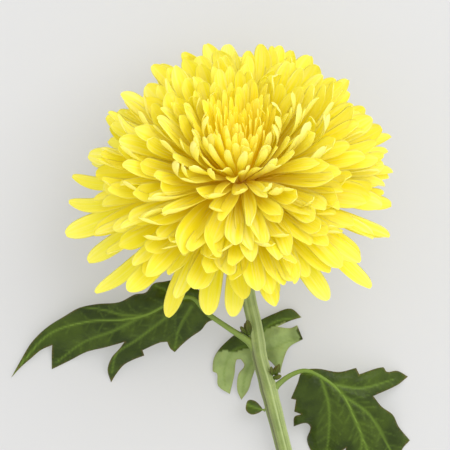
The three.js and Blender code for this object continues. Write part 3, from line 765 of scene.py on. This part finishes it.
def makeLeaf(node, leaf, material):
    rib = smoothPath(leaf["midrib"], 5)
    ribPlan = [spot.xy for spot in rib]
    turned = leaf.get("turned", False)
    ends = [leaf["midrib"][0][:2], leaf["midrib"][-1][:2]]
    border = smoothPath([ends[0], *leaf["left"], ends[1], *leaf["right"][::-1]], 5, True, 0.3)
    edge = KDTree(len(border))
    for k, spot in enumerate(border):
        edge.insert((*spot, 0), k)
    edge.balance()
    veins = [(ribPlan, 1.0)]
    for vein in leaf["veins"]:
        line = smoothPath(vein, 4)
        veins.append((line, 0.8))
        veins += [(branch, leafShape["sideVein"]) for branch in sideVeins(line, edge)]
    veins += [(branch, leafShape["sideVein"]) for branch in sideVeins(ribPlan, edge)]

    # a net of spots inside the outline
    gap = leafShape["spacing"]
    lowX, highX = min(spot.x for spot in border), max(spot.x for spot in border)
    lowY, highY = min(spot.y for spot in border), max(spot.y for spot in border)
    spots = list(border)
    for row in range(int((highY - lowY) / gap / 0.87) + 1):
        for column in range(int((highX - lowX) / gap) + 1):
            spot = Vector((lowX + (column + row % 2 / 2) * gap, lowY + row * gap * 0.87))
            if edge.find((*spot, 0))[2] > gap * 0.55:
                spots.append(spot)
    loop = [(k, (k + 1) % len(border)) for k in range(len(border))]
    spots, edges, triangles = geometry.delaunay_2d_cdt(spots, loop, [], 1, 1e-5)[:3]

    shell = Shell()
    tops, bottoms = [], []
    for spot in spots:
        distance, along = nearest(spot, ribPlan)
        at = min(int(along), len(rib) - 2)
        height = rib[at].z + (rib[at + 1].z - rib[at].z) * (along - at) - leaf["droop"] * distance ** 1.5
        rim = edge.find((*spot, 0))[2]
        vein, closest = 0.0, 1e9
        for line, strength in veins:
            away, along = nearest(spot, line)
            width = leafShape["veinWidth"] * (0.4 + 0.6 * strength) * (1.3 - 0.8 * along / (len(line) - 1))
            vein = max(vein, strength * math.exp(-(away / width) ** 2))
            if strength > 0.5:
                closest = min(closest, away)
        height += leafShape["bulge"] * (1 - math.exp(-(closest / 3.5) ** 2)) * min(1, rim / 3)
        height -= leafShape["groove"] * vein
        height += leafShape["wave"] * noise.noise((spot.x / 8, spot.y / 8, 2.5)) * max(0, 1 - rim / 7)
        height = max(leaf["lowest"], height)
        thinnest = leafShape["edgeThickness"]
        thick = thinnest + (leafShape["thickness"] - thinnest) * min(1, rim)
        folded = any(inside(spot, fold) for fold in leaf.get("folds", []))
        pale = 1.0 if turned and not folded else 0.0
        shade = 0.5 * max(0, noise.noise((spot.x / 5, spot.y / 5, 9.0)))
        tops.append(shell.corner(Vector((*spot, height)), vein=vein * (0.5 if pale else 0.9), under=pale,
                                 shade=shade, blush=0.25 * max(0, 1 - rim / 0.3)))
        bottoms.append(shell.corner(Vector((*spot, height - thick)), vein=vein, under=1 - pale))
    for a, b, c in triangles:
        shell.faces += [[tops[a], tops[b], tops[c]], [bottoms[c], bottoms[b], bottoms[a]]]
    sides = {}
    for triangle in triangles:
        for a, b in zip(triangle, triangle[1:] + triangle[:1]):
            if sides.pop((b, a), None) is None:
                sides[(a, b)] = True
    shell.faces += [[tops[b], tops[a], bottoms[a], bottoms[b]] for a, b in sides]

    # the stalk carries on as the raised rib under the blade
    path = smoothPath([*leaf["stalk"], *leaf["midrib"][leaf["ribFrom"]:-1]], 6)
    stalkShare = len(leaf["stalk"]) / (len(leaf["stalk"]) + len(leaf["midrib"]) - leaf["ribFrom"])

    def reach(turn, share):
        radius = leaf["stalkRadius"] * (1 - 0.85 * share ** 0.8 + 0.55 * math.exp(-(share / 0.09) ** 2))
        channel = 0.2 * math.exp(-((turn - math.pi / 2) / 0.5) ** 2)
        return radius * (1 - channel + 0.04 * math.cos(5 * turn))

    def paint(turn, share):
        lines = noise.noise((math.cos(turn) * 3, math.sin(turn) * 3, share * 5))
        leafward = min(1, 2.2 * share)
        return {"vein": min(1, 0.85 + 0.4 * lines) * leafward, "under": 0.9, "shade": max(0, -0.6 * lines)}

    sunk = [spot - Vector((0, 0, leaf["stalkRadius"] * 0.5 * min(1, 2 * k / len(path))))
            for k, spot in enumerate(path)]
    shell.tube([Vector((*spot.xy, max(spot.z, 0.7))) for spot in sunk], 16, reach, paint)
    shell.piece(node + "_blade", material, "leaf", node)


leaves = {
    "leaf_left": {
        "stalkRadius": 1.5, "droop": 0.11, "lowest": 0.9, "ribFrom": 5,
        "stalk": [(6.6, -69.6, 13.0), (3.4, -66.6, 14.6), (-5, -61, 17.5), (-14, -54.6, 20.3),
                  (-20, -48.6, 21.5), (-28, -50.6, 21.2), (-38, -55.6, 19)],
        "midrib": [(-10.4, -57.6, 19.2), (-15.5, -52.8, 20.8), (-20.5, -48.6, 21.5), (-29, -51.2, 21),
                   (-38, -55.8, 19), (-48, -57.8, 16), (-62, -58.6, 11), (-78, -63.6, 5.6), (-89, -75, 2.2),
                   (-94.2, -82, 1.2)],
        "right": [(-12, -54.8), (-15.4, -47.5), (-19, -43.6), (-25, -41.4), (-31.5, -42.2), (-35.4, -43),
                  (-38.6, -46.6), (-43, -47.4), (-49.5, -50.6), (-58.5, -51.4), (-66, -53), (-72, -56.4),
                  (-79.5, -61.2), (-85.6, -67.2), (-89.8, -74)],
        "left": [(-13.4, -59), (-15.8, -62), (-19.8, -64.8), (-23.6, -68), (-26.7, -71.2), (-28.6, -69.6),
                 (-29.8, -66.9), (-33, -67.3), (-39.9, -70.4), (-39.2, -72.6), (-43.7, -74.3),
                 (-47.6, -76.5), (-50.9, -80.4), (-53, -83.8), (-54.4, -78.6), (-52.7, -73.5),
                 (-49.4, -69.7), (-47.4, -67), (-55.4, -69.3), (-63, -71.2), (-70, -74.8), (-77.4, -78.4),
                 (-77.4, -72), (-77.2, -68.4), (-81.7, -70.4), (-85.6, -73.6), (-90.2, -77.6)],
        "veins": [[(-37.7, -56.3), (-47.8, -55.9), (-55.5, -53.9), (-64.8, -52.7)],
                  [(-24.3, -51.8), (-30.6, -57.2), (-42.9, -66.5), (-50.7, -72), (-52.5, -79.7)],
                  [(-19.8, -52.5), (-25.1, -61.9), (-26.7, -69.7)],
                  [(-40, -56.4), (-52, -62.5), (-64, -67), (-75.6, -75.6)],
                  [(-27, -50.6), (-30, -46), (-36, -43.6)]],
    },
    "leaf_right": {
        "stalkRadius": 1.4, "droop": 0.1, "lowest": 0.9, "ribFrom": 3,
        "stalk": [(12.7, -87.6, 11.1), (15.6, -84.4, 12.4), (21, -80.4, 15.2), (27, -78.6, 17),
                  (33, -81, 17.2), (40, -86.4, 15.6)],
        "midrib": [(25.6, -79, 16.6), (31.4, -80.2, 17.2), (40.4, -86.6, 15.6), (45.4, -94.4, 13.2),
                   (51.8, -109.8, 7.6), (57, -122, 3), (60.5, -132, 1.2)],
        "left": [(31.6, -77.8), (40.3, -79.2), (47.7, -77.6), (49, -80.2), (58.7, -77.4), (60.5, -79.3),
                 (64.8, -79), (69.2, -81.4), (64.8, -84.8), (54.8, -89.2), (58.3, -93.6), (62.9, -97),
                 (65.4, -102), (70, -107.6), (66.6, -112), (67.4, -118.4), (63.6, -123.6)],
        "right": [(23.6, -83.8), (20.9, -90.2), (23, -90.7), (22.3, -95.6), (25.1, -96.7), (22.4, -97.8),
                  (22.1, -101.8), (27, -100.4), (29, -102.2), (27.6, -107.2), (29.8, -113), (34.4, -120.6),
                  (39.4, -114), (43.6, -110.6), (43, -117), (48.6, -121.6), (54.8, -126.6)],
        "veins": [[(33.2, -81.4), (36.5, -93), (36.5, -105.7), (35, -118)],
                  [(42, -88.6), (53.1, -96.8), (61, -109.8), (64, -118)],
                  [(37.7, -84.2), (49.8, -85.9), (62.8, -82.6)],
                  [(46.5, -97), (50, -106), (49, -119)]],
    },
    "leaf_back": {
        "stalkRadius": 1.2, "droop": 0.05, "lowest": 0.9, "ribFrom": 2, "turned": True,
        "folds": [[(-13, -73), (-6, -70.2), (-3, -71.4), (2, -69.8), (6, -70.4), (7, -58), (-12, -60)],
                  [(8.5, -63.5), (11, -61.8), (14.5, -60.4), (20.8, -58.6), (27, -59), (27, -50), (6, -56)],
                  [(24.2, -60.5), (23.4, -62.6), (25, -66.6), (28, -66), (27, -60)]],
        "stalk": [(10.2, -80.6, 9.8), (9.2, -76.5, 7.4), (8.4, -73, 6.6), (6.8, -68.6, 6)],
        "midrib": [(8.4, -74.4, 5.8), (7, -69, 5.8), (9.6, -62.6, 5.4), (15.6, -58.4, 4.6),
                   (25.4, -57, 2.4)],
        "left": [(5.2, -81.4), (3.6, -86.7), (0.6, -91), (-1.1, -86.7), (-0.6, -80.4), (1.8, -76.8),
                 (0.4, -74.2), (-1.4, -74.6), (-2.2, -80.4), (-4.1, -88.6), (-8.9, -85.2), (-9.4, -80.2),
                 (-11.2, -79), (-10, -72.2), (-3.6, -65.2), (0.6, -62.6), (7, -58.8), (14.6, -55.2),
                 (21, -53.4)],
        "right": [(12, -74.6), (16.6, -80.2), (17.8, -75), (20.3, -69.4), (26, -66), (23.6, -60.2),
                  (20.6, -61.4), (15.4, -60.8), (20.8, -58.4)],
        "veins": [[(7.4, -70), (12.6, -70), (17, -68), (24, -65.4)], [(7.6, -72), (2.6, -80), (1.2, -88)],
                  [(6.6, -68), (-3, -71), (-6.4, -79), (-6, -85)]],
    },
    "leaflet": {
        "stalkRadius": 0.55, "droop": 0.04, "lowest": 0.9, "ribFrom": 1,
        "stalk": [(10.4, -95, 9.6), (9.2, -94.8, 9.6), (7.4, -94.3, 9.4)],
        "midrib": [(9.6, -94.9, 9.6), (6.4, -94, 9.3), (2.6, -92.6, 8.4)],
        "left": [(7.6, -96.2), (4.8, -96.8), (2.6, -95.2)],
        "right": [(8.4, -93.2), (6.2, -91.2), (3.6, -90.9)],
        "veins": [],
    },
}
for node, leaf in leaves.items():
    makeLeaf(node, leaf, leafUnderside if leaf.get("turned") else leafCuticle)
print("leaves")

# ---- a bud and its first small leaves in each axil ----
axils = {
    "axil_bud_left": {
        "bud": ((3.1, -62.6, 15.9), (2.0, -59.2, 17.2), 1.0),
        "scales": [
            ((3.9, -64.0, 15.4), (3.0, -58.0, 18.2), 2.6),
            ((2.4, -63.1, 16.3), (0.2, -60.6, 18.2), 1.6),
        ],
    },
    "axil_bud_right": {
        "bud": ((14.0, -80.2, 13.2), (15.2, -76.6, 15.6), 1.1),
        "scales": [
            ((14.6, -80.8, 13.4), (16.2, -76.0, 16.2), 1.7),
            ((13.4, -80.6, 13.4), (12.8, -77.0, 15.8), 1.5),
            ((13.6, -81.8, 13.0), (17.0, -80.8, 14.8), 2.0),
        ],
    },
}
for node, axil in axils.items():
    shell = Shell()
    base, tip, radius = axil["bud"]
    line = smoothPath([base, tip], 12)
    shell.tube(line, 14, lambda turn, share: radius * (0.2 + 0.8 * math.sin(math.pi * (0.15 + 0.82 * share))),
               lambda turn, share: {"blush": 0.4 * share ** 2, "vein": 0.3 * (1 - share)})
    for base, tip, width in axil["scales"]:
        bow = (Vector(base) + Vector(tip)) / 2 + Vector((0, 0, 0.7))
        line = smoothPath([base, bow, tip], 6)
        shell.tube(line, 12, lambda turn, share: (0.12 + width / 2 * abs(math.cos(turn)) ** 1.5
                                                  * math.sin(math.pi * (0.08 + 0.86 * share)) ** 0.8),
                   lambda turn, share: {"vein": 0.6 * abs(math.sin(turn)) ** 6, "blush": 0.2 * share})
    shell.piece(node + "_scales", leafCuticle, "bract", node)
print("axil buds")

# ---- floor, light and camera ----
studio = {
    "floor": "#949494", "floorGlow": 0.31, "skyStrength": 1.18,
    "keyPower": 12.4, "keySize": 1.2, "keyFrom": (0.6, 0.5, 1.1),
    "view": 182.25, "viewHeight": 50, "viewDistance": 3000, "viewCentre": (-6.1, -19.0),
}


def makeFloor():
    mesh = bpy.data.meshes.new("paper floor")
    mesh.from_pydata([(-3, -3, 0), (3, -3, 0), (3, 3, 0), (-3, 3, 0)], [], [(0, 1, 2, 3)])
    floor = bpy.data.objects.new("paper_floor", mesh)
    material = bpy.data.materials.new("matt backdrop paper")
    material.use_nodes = True
    paper = material.node_tree.nodes["Principled BSDF"].inputs
    paper["Base Color"].default_value = linear(studio["floor"])
    paper["Roughness"].default_value = 0.9
    paper["Emission Color"].default_value = (1, 1, 1, 1)
    paper["Emission Strength"].default_value = studio["floorGlow"]
    mesh.materials.append(material)
    scene.collection.objects.link(floor)


def makeLights():
    world = bpy.data.worlds.new("soft room")
    scene.world = world
    world.use_nodes = True
    world.node_tree.nodes["Background"].inputs["Color"].default_value = (1, 1, 1, 1)
    world.node_tree.nodes["Background"].inputs["Strength"].default_value = studio["skyStrength"]
    lamp = bpy.data.lights.new("window", "AREA")
    lamp.energy = studio["keyPower"]
    lamp.size = studio["keySize"]
    key = bpy.data.objects.new("window", lamp)
    key.location = studio["keyFrom"]
    key.rotation_euler = (-Vector(studio["keyFrom"])).to_track_quat("-Z", "Y").to_euler()
    scene.collection.objects.link(key)


def makeCamera():
    lens = bpy.data.cameras.new("camera")
    lens.sensor_width = 36
    lens.lens = 36 * studio["viewDistance"] / studio["view"]
    lens.clip_end = 30
    camera = bpy.data.objects.new("camera", lens)
    spot = fromPlan + Vector((*studio["viewCentre"], studio["viewHeight"] + studio["viewDistance"]))
    camera.location = spot * mm
    scene.collection.objects.link(camera)
    scene.camera = camera


makeFloor()
makeLights()
makeCamera()
scene.view_settings.view_transform = "Standard"
print("studio")
